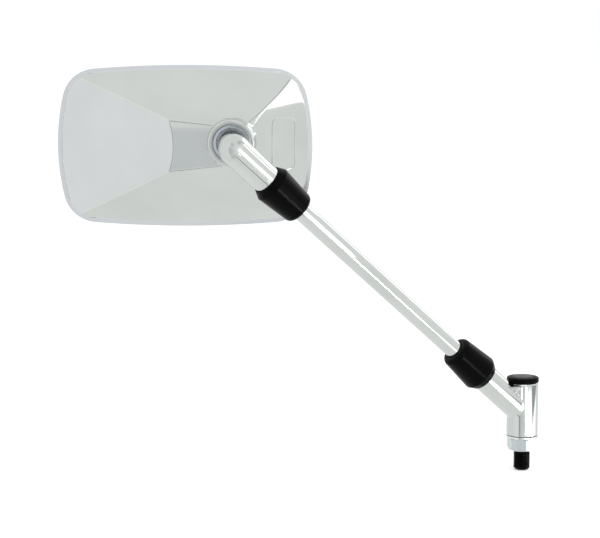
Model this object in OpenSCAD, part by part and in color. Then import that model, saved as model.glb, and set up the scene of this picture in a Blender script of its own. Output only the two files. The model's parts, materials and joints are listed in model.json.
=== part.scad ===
// Right-hand motorcycle mirror with a rectangular head on a straight stem.
// Millimetres. The origin is on the stud's axis, where its bare thread ends under the lock nut.
// +Z points up the stud, +Y is the way the glass faces and -Y is the front of the bike.

/* [Stud and lock nut] */
// Major diameter of the M10 stud
stud_d = 10; // [9:0.5:11]
// Length of stud that stands out below the lock nut
stud_len = 12; // [8:1:24]
// Chamfer on the stud's free end
stud_chamfer = 1; // [0.4:0.2:1.6]
// Pitch of the stud's thread
thread_pitch = 1.25; // [1:0.25:1.5]
// Width across the flats of the lock nut
nut_af = 16; // [15:0.5:18]
// Height of the lock nut's top above the origin
nut_h = 8; // [5:0.5:10]
// Neck of the stud that shows between its full thread and the lock nut
nut_neck = 0.3; // [0.2:0.1:0.6]
// Turn of the lock nut about the stud, degrees
nut_turn = 40; // [0:5:60]
// Diameter of the washer under the holder
washer_d = 19.6; // [17:0.2:22]
// Thickness of the washer under the holder
washer_h = 1.2; // [0.8:0.2:2]

/* [Holder] */
// Outer diameter of the upright barrel
barrel_d = 19.2; // [18.6:0.2:22]
// Height of the upright barrel
barrel_h = 33; // [32:1:38]
// Height of the stem's axis above the barrel's foot, where it crosses the stud's axis
cross_h = 14.3; // [12:0.5:16]
// Outer diameter of the slanted socket
socket_d = 16.5; // [15:0.5:17]
// Distance of the socket's mouth from the stud's axis
socket_len = 44; // [40:1:48]
// Distance of the socket's blind end from the stud's axis
socket_floor = 17; // [16:0.5:22]
// Thickness of the web between barrel and socket
web_t = 15.5; // [8:0.5:16]
// Gap between the web's top edge and the barrel's top
web_drop = 1; // [0:0.5:6]

/* [Pivot] */
// Outer diameter of the nylon bush
bush_d = 14; // [12:0.5:15]
// Thickness of the shoulder that carries the springs
shoulder_t = 3; // [2:0.5:4]
// Diameter of the spring chamber
chamber_d = 15.2; // [14:0.2:15.4]
// Thickness of the steel thrust washer
thrust_t = 1.2; // [0.8:0.2:1.6]
// Number of disc springs on the bolt
disc_count = 4; // [2:1:4]
// Height of one disc spring as fitted
disc_h = 1.5; // [1.2:0.1:1.6]
// Thickness of a disc spring
disc_t = 0.8; // [0.5:0.1:1]
// Diameter of the bolt's head
bolt_head_d = 14; // [12:0.5:14.5]
// Height of the bolt's head
bolt_head_h = 4; // [3:0.5:4.5]
// Room between the bolt's head and the cap's plug
head_room = 1.2; // [0.8:0.2:2]
// Width across the flats of the bolt's hexagon socket
bolt_key_af = 6; // [4:0.5:8]
// Depth of the bolt's hexagon socket
bolt_key_depth = 2.4; // [1.5:0.1:3]

/* [Top cap] */
// Diameter of the cap's rim
cap_d = 19.4; // [18:0.2:22]
// Height of the cap's straight side
cap_side = 2.9; // [2:0.1:4]
// Rise of the cap's crown above its side
cap_rise = 0.9; // [0.5:0.1:1.4]
// Length of the cap's plug
cap_plug = 3; // [2:0.2:3.2]
// Gap round the cap where the casting is cut back for it
cap_relief = 0.3; // [0.2:0.1:0.5]

/* [Stem] */
// Angle of the stem above the horizontal, degrees
stem_rise = 40.7; // [36:0.1:46]
// Angle by which the stem leans towards the front of the bike, degrees
stem_lean = 26; // [22:1:30]
// Length from the stud's axis to the neck's axis
stem_len = 256; // [236:1:286]
// Diameter of the bare rod
rod_d = 11; // [10.5:0.1:12]
// Diameter of the rod's M10 threaded ends
rod_thread_d = 10; // [9:0.5:10.4]
// Length of thread between the lock nut and the bare rod
thread_free = 3.5; // [2:0.5:6]
// Chamfer on the rod's shoulders and ends
rod_chamfer = 0.6; // [0.3:0.1:1]
// Width across the flats of the small lock nuts on the rod
rod_nut_af = 14; // [13:0.5:14.4]
// Height of the small lock nuts
rod_nut_h = 6; // [5:0.5:7]

/* [Lock nut covers] */
// Length of a cover
cover_len = 27; // [25:0.5:30]
// Diameter of a cover at its rod end
cover_rod_d = 18.7; // [17:0.1:20]
// Diameter of a cover at its shoulder
cover_big_d = 22.6; // [22:0.1:25]
// Outer diameter of a cover's mouth edge
cover_mouth_d = 18.4; // [18:0.1:20]
// Length of the bevel between the shoulder and the mouth
cover_bevel = 4.2; // [3:0.2:5]
// Rounding of the cover's rod end
cover_round = 3; // [2:0.2:3.4]
// Wall of a cover
cover_wall = 1.5; // [1.2:0.1:1.8]
// Length of the throat that grips the rod
cover_throat = 3.4; // [2.5:0.1:5]
// Length by which a cover reaches past its nut over the casting
cover_overlap = 7; // [5:0.5:8]

/* [Elbow] */
// Length of the elbow's arm from the neck's axis to its mouth
arm_len = 37; // [35:1:42]
// Diameter of the arm at its mouth
arm_d = 16.5; // [16:0.1:16.8]
// Diameter of the round end of the arm
dome_d = 17.7; // [17:0.1:18.4]
// Distance of the round end's centre from the neck's axis
dome_back = 3.4; // [2:0.2:5]
// Depth of the arm's threaded bore
arm_bore_len = 15; // [12:1:20]
// Distance from the stem's end to the ball's centre
neck_len = 34; // [32:1:38]
// Diameter of the neck behind the ball
neck_d = 11; // [10:0.2:11.4]
// Distance of the neck's flare from the ball's centre
neck_flare = 16; // [15:0.5:20]
// Growth of the neck's radius towards the elbow
neck_swell = 0.6; // [0.2:0.1:1]
// Diameter of the ball
ball_d = 18; // [17:0.2:18.4]

/* [Ball joint] */
// Thickness of the nylon liners round the ball
liner_t = 1.55; // [1.2:0.05:1.8]
// Distance from the ball's centre to each liner's open edge
liner_reach = 5.6; // [5:0.1:6]
// Outer diameter of the rear seat
seat_d = 25.2; // [24.6:0.2:26]
// Height of the rear seat
seat_h = 7.5; // [6:0.1:8]
// Distance of the rear seat's front face behind the ball's centre
seat_start = 1.5; // [1:0.1:2.5]
// Height of the seat spring as fitted
seat_spring_h = 2.5; // [2:0.1:3]
// Diameter of the clamp plate
clamp_d = 45; // [43:0.5:47]
// Thickness of the clamp plate
clamp_t = 1.6; // [1.2:0.1:2]
// Radius of the circle of clamp screws
clamp_screw_r = 18.8; // [18.4:0.1:19.2]
// Number of clamp screws
clamp_screws_n = 3; // [3:1:4]
// Diameter of a clamp screw
clamp_screw_d = 4; // [3:0.5:4.5]
// Length of a clamp screw under its head
clamp_screw_len = 6; // [5:0.5:6.5]
// Diameter of a screw lug inside the housing
lug_d = 7.2; // [6.6:0.2:7.6]

/* [Head outline] */
// Width of the head
head_w = 148.7; // [144:0.1:156]
// Height of the head
head_h = 93.9; // [91:0.1:98]
// Distance of the head's middle to the left of the ball
head_shift_x = 28.25; // [25:0.25:31]
// Distance of the head's middle below the ball
head_shift_z = 3.4; // [1:0.2:5]
// Radius of the bowed left and right sides
side_r = 130; // [110:5:170]
// Radius of the crowned top and bottom edges
top_r = 650; // [500:10:900]
// Radius of the head's corners
corner_r = 20; // [16:0.5:24]

/* [Head shell] */
// Distance of the rim's back behind the ball's centre
rim_back = 24.4; // [23:0.2:27]
// Depth of the rim
rim_depth = 5.5; // [5.3:0.1:7]
// Width of the flat band round the back of the rim
rim_band = 2.4; // [2:0.1:3]
// Wall of the shell
shell_wall = 1.5; // [1.2:0.1:1.8]
// Wall of the rim
rim_wall = 1.6; // [1.3:0.1:1.8]
// Softening of the rim's back edge
rim_soft = 0.8; // [0.4:0.1:1.2]
// Hollow of the flared faces at their middle
flare_sag = 1.2; // [0.8:0.1:1.6]
// Radius of the raised middle panel's crown
panel_r = 58; // [55:1:70]
// Height of the panel's crest in front of the ball's centre
panel_crest = 6.8; // [6.4:0.1:7.4]
// Rise of the panel towards the boss, degrees
panel_tilt = 4.9; // [3:0.1:6]
// Distance of the panel's middle below the ball
panel_drop = 2.6; // [1.5:0.1:3.5]
// Distance in front of the ball's centre at which the faces' inner ends are given
face_crest = 4.6; // [4:0.2:5.4]
// Inner end of the left face, to the left of the ball
left_crest = 32.3; // [30:0.1:35]
// Inner end of the right face, to the right of the ball
right_crest = 9; // [7:0.5:11]
// Inner end of the top face, above the ball
top_crest = 10.3; // [9:0.1:12]
// Inner end of the bottom face, below the ball
bottom_crest = 14.4; // [13:0.1:16]
// Turn of the narrow corner faces away from the head's front, degrees
corner_face_turn = 36.4; // [35:0.2:38]
// Rise of the narrow corner faces, degrees
corner_face_rise = 12.6; // [11:0.2:14]
// Distance of the narrow corner faces from the ball
corner_face_out = 9.5; // [9.2:0.1:9.8]

/* [Boss] */
// Diameter of the boss round the neck
boss_d = 26.8; // [26.4:0.1:28]
// Distance of the boss's face in front of the ball's centre
boss_face = 11.6; // [11:0.1:12.4]
// Diameter of the dished mouth
dish_d = 20.6; // [19.8:0.1:21]
// Wall of the collar behind the boss
collar_wall = 2.4; // [2:0.1:3]

/* [Glass] */
// Thickness of the mirror glass
glass_t = 2.4; // [2:0.1:3]
// Thickness of each lip of the rubber seal
seal_lip = 0.9; // [0.7:0.1:1.1]
// Width of the seal's lips
seal_w = 2.9; // [2.6:0.1:3.4]
// Wall of the seal round the edge of the glass
seal_wall = 1.3; // [1:0.1:1.5]
// Thickness of the foam pad behind the glass
pad_t = 2; // [1:0.2:2.4]
// Distance of the foam pad's edge from the head's edge
pad_margin = 9; // [8:0.5:14]

/* [Hidden] */

// Clearances: a running fit, a slip fit and the gap between casting and cover
run = 0.05;
slip = 0.2;
// Overlap that lets cuts pass clean through
eps = 0.01;
// Size of the blocks that cut away a half space
far = 400;

$fn = 96;
fine = 360;

chrome = [0.84, 0.85, 0.86];
steel = [0.70, 0.72, 0.74];
black = [0.08, 0.08, 0.08];
nylon = [0.93, 0.92, 0.86];

// Pitch diameter of the stud's thread, used where the stud is screwed into its nut
engaged_d = stud_d - 0.65 * thread_pitch;

// Heights up the stud
barrel_z = nut_h + washer_h;
cross_z = barrel_z + cross_h;
barrel_top = barrel_z + barrel_h;
bolt_stack = shoulder_t + thrust_t + disc_count * disc_h + bolt_head_h;
bush_len = barrel_h - slip - bolt_stack - head_room - cap_plug;
shoulder_z = barrel_z + bush_len + slip;
chamber_z = shoulder_z + shoulder_t;
disc_z = chamber_z + thrust_t;
bolt_head_z = disc_z + disc_count * disc_h;

// Stations up the stem, from the stud's axis
lower_nut_t = socket_len;
upper_nut_t = stem_len - arm_len - rod_nut_h;
rod_from = lower_nut_t + rod_nut_h + thread_free;
rod_to = upper_nut_t - thread_free;
lower_cover_t = socket_len - cover_overlap;
upper_cover_t = stem_len - arm_len + cover_overlap;

// The neck's axis crosses the stem at the elbow, and the ball lies behind it
stem_dir = [-cos(stem_rise) * cos(stem_lean), -cos(stem_rise) * sin(stem_lean), sin(stem_rise)];
elbow_at = [0, 0, cross_z] + stem_len * stem_dir;
ball_at = elbow_at + [0, neck_len, 0];

// Radii round the ball
ball_r = ball_d / 2;
liner_in = ball_r + run;
liner_out = liner_in + liner_t;
cup_r = liner_out + run;
seat_r = seat_d / 2;
collar_in = seat_r + slip;
collar_out = collar_in + collar_wall;
seat_back = seat_start + seat_h;
clamp_y = seat_back + seat_spring_h;

// The head's outline: a side arc, a top arc and a corner arc that touches both
outline_mid = [-head_shift_x, -head_shift_z];
side_c = [head_w / 2 - side_r, 0];
top_c = [0, head_h / 2 - top_r];
corner_c = circle_meet(top_c, top_r - corner_r, side_c, side_r - corner_r);
side_turn = atan2((corner_c - side_c).y, (corner_c - side_c).x);
top_turn = atan2((corner_c - top_c).y, (corner_c - top_c).x);

// Depths of the rim and of what it holds
rim_front = rim_back + rim_depth;
seal_y = rim_back + shell_wall + 0.1;
glass_y = seal_y + seal_lip;
seal_off = rim_wall + 0.1;
glass_off = seal_off + seal_wall;

// Points on an arc about c, from angle a0 to a1
function arc(c, r, a0, a1, n) =
    [for (i = [0:n]) let (a = a0 + (a1 - a0) * i / n) c + r * [cos(a), sin(a)]];

// The crossing of two circles that lies towards the upper right
function circle_meet(p, rp, q, rq) =
    let (d = norm(q - p),
         along = (d * d + rp * rp - rq * rq) / (2 * d),
         u = (q - p) / d,
         side = sqrt(rp * rp - along * along),
         a = p + along * u + side * [-u.y, u.x],
         b = p + along * u - side * [-u.y, u.x])
    a.x + a.y > b.x + b.y ? a : b;

// Places children with +Z up the stem, from where it crosses the stud's axis
module along_stem(t = 0) {
    translate([0, 0, cross_z]) rotate([0, 90 - stem_rise, 180 + stem_lean])
        translate([0, 0, t]) children();
}

// Places children in the head's frame, with the ball's centre as origin
module at_ball() {
    translate(ball_at) children();
}

// Turns a revolved shape so that its +Z lies along +Y
module about_y() {
    rotate([-90, 0, 0]) children();
}

// Extrudes an outline in X and Z from y0 to y1
module slab(y0, y1) {
    translate([0, y1, 0]) rotate([90, 0, 0]) linear_extrude(y1 - y0) children();
}

// Tube from z0 to z1
module tube(r_out, r_in, z0, z1) {
    translate([0, 0, z0]) difference() {
        cylinder(r = r_out, h = z1 - z0);
        translate([0, 0, -1]) cylinder(r = r_in, h = z1 - z0 + 2);
    }
}

// Hexagon nut with both faces chamfered
module hex_nut(af, h, bore) {
    corner = af / 2 / cos(30);
    ease = (corner - af / 2) * 1.25;
    difference() {
        intersection() {
            cylinder(r = corner, h = h, $fn = 6);
            rotate_extrude() polygon([[0, 0], [af / 2, 0], [corner + 0.2, ease], [corner + 0.2, h - ease],
                                      [af / 2, h], [0, h]]);
        }
        translate([0, 0, -1]) cylinder(d = bore, h = h + 2);
    }
}

// Threaded bolt that the whole mirror hangs on: stud below, head in the spring chamber
module pivot_bolt() {
    r = stud_d / 2;
    er = engaged_d / 2;
    hr = bolt_head_d / 2;
    top = bolt_head_z + bolt_head_h;
    color(black) difference() {
        rotate_extrude()
            polygon([[0, -stud_len], [r - stud_chamfer, -stud_len], [r, -stud_len + stud_chamfer],
                     [r, 0], [er, 0], [er, nut_h + nut_neck], [r, nut_h + nut_neck],
                     [r, bolt_head_z], [hr, bolt_head_z], [hr, top - 0.6], [hr - 0.6, top], [0, top]]);
        translate([0, 0, top - bolt_key_depth])
            cylinder(r = bolt_key_af / 2 / cos(30), h = bolt_key_depth + 1, $fn = 6);
    }
}

module lock_nut() {
    color(steel) translate([0, 0, nut_neck]) rotate([0, 0, nut_turn - 60])
        hex_nut(nut_af, nut_h - nut_neck, engaged_d);
}

module base_washer() {
    color(chrome) tube(washer_d / 2, stud_d / 2 + slip, nut_h, barrel_z);
}

module thrust_washer() {
    color(steel) tube(bolt_head_d / 2 + 0.2, stud_d / 2 + slip, chamber_z, disc_z);
}

// Coned spring washers, stacked in opposite senses
module disc_springs() {
    r_in = stud_d / 2 + slip;
    r_out = bolt_head_d / 2;
    rise = disc_h - disc_t;
    color(steel) for (i = [0:disc_count - 1]) {
        up = i % 2;
        translate([0, 0, disc_z + i * disc_h]) rotate_extrude()
            polygon([[r_in, up ? 0 : rise], [r_out, up ? rise : 0],
                     [r_out, up ? disc_h : disc_t], [r_in, up ? disc_t : disc_h]]);
    }
}

// The web's outline in the plane of the stud and the stem, x towards the elbow
module web_outline() {
    top = barrel_top - web_drop;
    reach = (top - cross_z) / tan(stem_rise);
    polygon([[0, cross_z], [reach, top], [0, top]]);
}

// Barrel, slanted socket and web cast in one
module holder_casting() {
    soft = 0.5;
    r = barrel_d / 2;
    sr = socket_d / 2;
    color(chrome) difference() {
        union() {
            translate([0, 0, barrel_z]) rotate_extrude()
                polygon([[0, 0], [r - soft, 0], [r, soft], [r, barrel_h - soft], [r - soft, barrel_h],
                         [0, barrel_h]]);
            along_stem() rotate_extrude()
                polygon([[0, 0], [sr, 0], [sr, socket_len - soft], [sr - soft, socket_len], [0, socket_len]]);
            rotate([0, 0, 180 + stem_lean]) translate([0, web_t / 2, 0]) rotate([90, 0, 0])
                linear_extrude(web_t) web_outline();
        }
        translate([0, 0, barrel_z - 1]) cylinder(d = bush_d, h = shoulder_z - barrel_z + 1);
        translate([0, 0, shoulder_z - 1]) cylinder(d = stud_d + 2 * slip, h = shoulder_t + 2);
        translate([0, 0, chamber_z]) cylinder(d = chamber_d, h = barrel_h);
        translate([0, 0, barrel_top]) cylinder(d = cap_d + 2 * cap_relief, h = barrel_h);
        along_stem(socket_floor) cylinder(d = rod_thread_d, h = socket_len);
    }
}

module pivot_bush() {
    color(nylon) tube(bush_d / 2, stud_d / 2 + run, barrel_z + slip, barrel_z + bush_len);
}

// Push-in cap with a low crown
module top_cap() {
    r = cap_d / 2;
    crown_r = (r * r + cap_rise * cap_rise) / (2 * cap_rise);
    edge = 0.7;
    plug_r = chamber_d / 2 - run;
    color(black) difference() {
        union() {
            translate([0, 0, barrel_top]) intersection() {
                rotate_extrude() polygon(concat([[0, 0]], [[r - 0.3, 0], [r, 0.3]],
                                                arc([r - edge, cap_side - edge], edge, 0, 75, 6),
                                                [[r - edge - 0.2, cap_side + cap_rise], [0, cap_side + cap_rise]]));
                translate([0, 0, cap_side + cap_rise - crown_r]) sphere(r = crown_r, $fn = fine);
            }
            translate([0, 0, barrel_top - cap_plug]) cylinder(r = plug_r, h = cap_plug + eps);
        }
        translate([0, 0, barrel_top - cap_plug - 1]) cylinder(r = plug_r - 1.6, h = cap_plug + 1);
    }
}

// Chromed rod with a threaded end in the holder and in the elbow
module stem_rod() {
    r = rod_d / 2;
    tr = rod_thread_d / 2;
    c = rod_chamfer;
    from = socket_floor + 1;
    to = stem_len - arm_len + arm_bore_len - 1;
    color(chrome) along_stem() rotate_extrude()
        polygon([[0, from], [tr - c, from], [tr, from + c], [tr, rod_from], [r - c, rod_from],
                 [r, rod_from + c], [r, rod_to - c], [r - c, rod_to], [tr, rod_to], [tr, to - c], [tr - c, to], [0, to]]);
}

module lower_lock_nut() {
    color(steel) along_stem(lower_nut_t) hex_nut(rod_nut_af, rod_nut_h, rod_thread_d);
}

module upper_lock_nut() {
    color(steel) along_stem(upper_nut_t) hex_nut(rod_nut_af, rod_nut_h, rod_thread_d);
}

// Rubber cover, from its rod end at z = 0 to its mouth at z = cover_len
module nut_cover() {
    rr = cover_rod_d / 2;
    rb = cover_big_d / 2;
    rm = cover_mouth_d / 2;
    bore = rod_d / 2 + run;
    mouth = socket_d / 2 + 0.35;
    shoulder = cover_len - cover_bevel;
    color(black) rotate_extrude()
        polygon(concat([[bore, 0], [rr - cover_round, 0]],
                       arc([rr - cover_round, cover_round], cover_round, -75, 0, 7),
                       [[rb, shoulder]], arc([rm, cover_len - 0.5], 0.5, 20, 90, 3),
                       [[mouth, cover_len], [mouth, cover_len - 2], [rb - cover_wall, shoulder - 0.6],
                        [rb - cover_wall - 0.7, shoulder - 10], [rr - cover_wall - 0.6, cover_throat],
                        [bore, cover_throat]]));
}

module lower_nut_cover() {
    along_stem(lower_cover_t + cover_len) rotate([180, 0, 0]) nut_cover();
}

module upper_nut_cover() {
    along_stem(upper_cover_t - cover_len) nut_cover();
}

// Cast elbow: bored arm, round end, neck and ball
module elbow_neck() {
    nr = neck_d / 2;
    root_r = nr + neck_swell;
    root = neck_len - dome_back - 1;
    color(chrome) difference() {
        union() {
            along_stem(stem_len - arm_len) cylinder(d1 = arm_d, d2 = dome_d, h = arm_len - dome_back);
            along_stem(stem_len - dome_back) sphere(d = dome_d);
            at_ball() rotate([90, 0, 0]) rotate_extrude()
                polygon([[0, 0], [nr, 0], [nr, neck_flare], [root_r, neck_flare + 6], [root_r, root],
                         [0, root]]);
            at_ball() translate([0, -root, 0]) sphere(r = root_r);
            at_ball() sphere(r = ball_r);
        }
        along_stem(stem_len - arm_len - 1) cylinder(d = rod_thread_d + 2 * run, h = arm_bore_len + 1);
    }
}

// Half of the nylon liner, on the side of +Y where sense is 1
module ball_liner(sense) {
    y0 = sense > 0 ? slip : -liner_reach;
    y1 = sense > 0 ? liner_reach : -slip;
    color(nylon) at_ball() intersection() {
        difference() {
            sphere(r = liner_out);
            sphere(r = liner_in);
        }
        translate([-far / 2, y0, -far / 2]) cube([far, y1 - y0, far]);
    }
}

module front_ball_liner() {
    ball_liner(-1);
}

module rear_ball_liner() {
    ball_liner(1);
}

// Ring with a hollow seat that the spring presses on the rear liner
module rear_ball_seat() {
    color(nylon) at_ball() difference() {
        about_y() translate([0, 0, seat_start]) cylinder(r = seat_r, h = seat_h);
        sphere(r = cup_r);
    }
}

module seat_spring() {
    r_in = ball_r - 2.5;
    r_out = seat_r - 1;
    t = 1;
    color(steel) at_ball() about_y() translate([0, 0, seat_back]) rotate_extrude()
        polygon([[r_out, 0], [r_out, t], [r_in, seat_spring_h], [r_in, seat_spring_h - t]]);
}

// Places children at each clamp screw, with +Z along +Y
module each_clamp_screw() {
    for (i = [0:clamp_screws_n - 1])
        at_ball() about_y() rotate([0, 0, 180 + i * 360 / clamp_screws_n])
            translate([clamp_screw_r, 0, 0]) children();
}

module clamp_plate() {
    color(steel) difference() {
        at_ball() about_y() translate([0, 0, clamp_y]) cylinder(d = clamp_d, h = clamp_t);
        at_ball() about_y() translate([0, 0, clamp_y - 1]) cylinder(r = ball_r - 3.2, h = clamp_t + 2);
        each_clamp_screw() translate([0, 0, clamp_y - 1]) cylinder(d = clamp_screw_d + slip, h = clamp_t + 2);
    }
}

// Pan-head screws through the clamp plate into the housing's lugs
module clamp_screws() {
    r = clamp_screw_d / 2;
    hr = clamp_screw_d * 0.95;
    hh = clamp_screw_d * 0.6;
    under = clamp_y + clamp_t;
    color(steel) each_clamp_screw() difference() {
        rotate_extrude() polygon(concat([[0, under - clamp_screw_len], [r - 0.4, under - clamp_screw_len],
                                         [r, under - clamp_screw_len + 0.4], [r, under], [hr, under]],
                                        arc([hr - 1.2, under + hh - 1.2], 1.2, 0, 90, 6), [[0, under + hh]]));
        for (a = [0, 90]) rotate([0, 0, a]) translate([-1.8, -0.35, under + hh - 1.2]) cube([3.6, 0.7, 2]);
    }
}

// A quarter of the outline, from the middle of the right side to the middle of the top
function outline_quarter(off) =
    concat(arc(side_c, side_r - off, 0, side_turn, 6),
           arc(corner_c, corner_r - off, side_turn + 4, top_turn - 4, 16),
           arc(top_c, top_r - off, top_turn, 90, 6));

// The head's outline, moved inwards by off all round
module head_outline(off) {
    q = outline_quarter(off);
    n = len(q) - 1;
    translate(outline_mid)
        polygon([for (k = [0:3], i = [0:n - 1])
            let (p = q[k % 2 == 0 ? i : n - i])
            [k == 1 || k == 2 ? -p.x : p.x, k > 1 ? -p.y : p.y]]);
}

// Children in the outline's upper right corner, and mirrored into the other three
module four_corners() {
    translate(outline_mid) {
        children();
        mirror([1, 0, 0]) children();
        mirror([0, 1, 0]) children();
        mirror([1, 0, 0]) mirror([0, 1, 0]) children();
    }
}

// What the faces are cut from: a block with round corners a little fuller than the rim's
module face_outline(off) {
    fuller = 8;
    turn = (side_turn + top_turn) / 2;
    c = corner_c - fuller * [cos(turn), sin(turn)];
    difference() {
        translate(outline_mid) square([head_w, head_h], center = true);
        four_corners() difference() {
            translate(c) square(3 * corner_r);
            translate(c) circle(r = corner_r + fuller - rim_band - off, $fn = fine);
        }
    }
}

// Cuts one flared face: a hollow arc swept round the rim arc's own centre.
// c is that centre in X and Z, r_rim and r_crest the face's two ends from it.
module flare_cut(c, r_rim, r_crest, off) {
    from = [r_rim, rim_back];
    to = [r_crest, -face_crest];
    chord = norm(to - from);
    bend_r = (chord * chord / 4 + flare_sag * flare_sag) / (2 * flare_sag);
    out = [from.y - to.y, to.x - from.x] / chord;
    mid = (from + to) / 2 + out * (bend_r - flare_sag);
    inner = r_crest - 40;
    front = 60;
    past = 1;
    translate([c.x, 0, c.y]) about_y() rotate_extrude($fn = fine) intersection() {
        translate(mid) circle(r = bend_r + off, $fn = 2 * fine);
        translate([inner, -front]) square([r_rim + 20 - inner, front + rim_back + off + past]);
    }
}

// Cuts the middle panel to its low crown, which climbs towards the boss
module crown_cut(off) {
    half = 20;
    translate([0, -panel_crest, -panel_drop]) rotate([0, 0, -panel_tilt]) difference() {
        translate([-3 * half, -2 * half, -half]) cube([5 * half, 2.4 * half, 2 * half]);
        translate([0, panel_r, 0]) rotate([0, 90, 0])
            cylinder(r = panel_r - off, h = far, center = true, $fn = fine);
    }
}

// Cuts one narrow corner face, square to the direction given by its turn and rise
module corner_cut(off) {
    n = [cos(corner_face_rise) * sin(corner_face_turn), -cos(corner_face_rise) * cos(corner_face_turn),
         sin(corner_face_rise)];
    translate(n * (corner_face_out - off)) rotate([0, acos(n.z), atan2(n.y, n.x)])
        translate([-far / 2, -far / 2, 0]) cube(far);
}

// The flared solid behind the rim, with every face moved inwards by off
module face_solid(off) {
    left_c = outline_mid - side_c;
    right_c = outline_mid + side_c;
    high_c = outline_mid + top_c;
    low_c = outline_mid - top_c;
    r_side = side_r - rim_band;
    r_top = top_r - rim_band;
    difference() {
        slab(-panel_crest - 20, rim_back + off + eps) face_outline(off);
        flare_cut(left_c, r_side, left_crest + left_c.x, off);
        flare_cut(right_c, r_side, right_crest - right_c.x, off);
        flare_cut(high_c, r_top, top_crest - high_c.y, off);
        flare_cut(low_c, r_top, bottom_crest + low_c.y, off);
        crown_cut(off);
        corner_cut(off);
        translate([0, 0, -2 * panel_drop]) mirror([0, 0, 1]) corner_cut(off);
    }
}

// Round boss with a rolled lip, in front of the panel
module boss_solid() {
    r = boss_d / 2;
    lip = 1.4;
    rotate([90, 0, 0]) rotate_extrude()
        polygon(concat([[0, 0], [r, 0]], arc([r - lip, boss_face - lip], lip, 0, 90, 8), [[0, boss_face]]));
}

// Chromed shell: flared faces, panel, rim and boss outside, collar and screw lugs inside
module housing_shell() {
    mouth_y = liner_reach + 0.4;
    mouth_r = sqrt(cup_r * cup_r - mouth_y * mouth_y);
    flare = (dish_d / 2 - mouth_r) / (boss_face - mouth_y);
    dish_from = mouth_y - 1;
    screw_tip = clamp_y + clamp_t - clamp_screw_len;
    color(chrome) difference() {
        at_ball() union() {
            face_solid(0);
            slab(rim_back, rim_back + rim_soft) head_outline(rim_soft);
            slab(rim_back + rim_soft, rim_front) head_outline(0);
            boss_solid();
        }
        difference() {
            at_ball() union() {
                face_solid(shell_wall);
                slab(rim_back + shell_wall, rim_front + 1) head_outline(rim_wall);
            }
            at_ball() about_y() translate([0, 0, -boss_face])
                cylinder(r = collar_out, h = boss_face + seat_back + 1);
            each_clamp_screw() translate([0, 0, -boss_face]) cylinder(d = lug_d, h = boss_face + clamp_y);
        }
        at_ball() sphere(r = cup_r);
        at_ball() about_y() translate([0, 0, seat_start - 0.5]) cylinder(r = collar_in, h = rim_front);
        at_ball() rotate([90, 0, 0]) translate([0, 0, dish_from])
            cylinder(r1 = mouth_r - flare, r2 = dish_d / 2 + flare, h = boss_face + 1 - dish_from);
        each_clamp_screw() translate([0, 0, screw_tip - 0.5]) cylinder(d = clamp_screw_d, h = rim_front);
    }
}

module backing_pad() {
    color([0.2, 0.2, 0.2]) at_ball() slab(glass_y - pad_t, glass_y) head_outline(pad_margin);
}

module mirror_glass() {
    color([0.75, 0.8, 0.85]) at_ball() slab(glass_y, glass_y + glass_t) head_outline(glass_off);
}

// Rubber channel that holds the edge of the glass in the rim
module glass_seal() {
    color(black) at_ball() difference() {
        slab(seal_y, glass_y + glass_t + seal_lip) head_outline(seal_off);
        slab(glass_y, glass_y + glass_t) head_outline(glass_off);
        slab(seal_y - 1, glass_y + glass_t + seal_lip + 1) head_outline(seal_off + seal_w);
    }
}

pivot_bolt();
lock_nut();
base_washer();
thrust_washer();
disc_springs();
holder_casting();
pivot_bush();
top_cap();
stem_rod();
lower_lock_nut();
upper_lock_nut();
lower_nut_cover();
upper_nut_cover();
elbow_neck();
front_ball_liner();
rear_ball_liner();
rear_ball_seat();
seat_spring();
clamp_plate();
clamp_screws();
housing_shell();
backing_pad();
mirror_glass();
glass_seal();
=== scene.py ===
"""Looks of a right-hand motorcycle mirror: chromed head, elbow, rod and swivel holder, rubber nut covers,
black stud. Metres, in the part's own frame: +Z up the stud, +Y the way the glass faces."""

import json
import math

import bpy
from mathutils import Matrix, Vector

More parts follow.
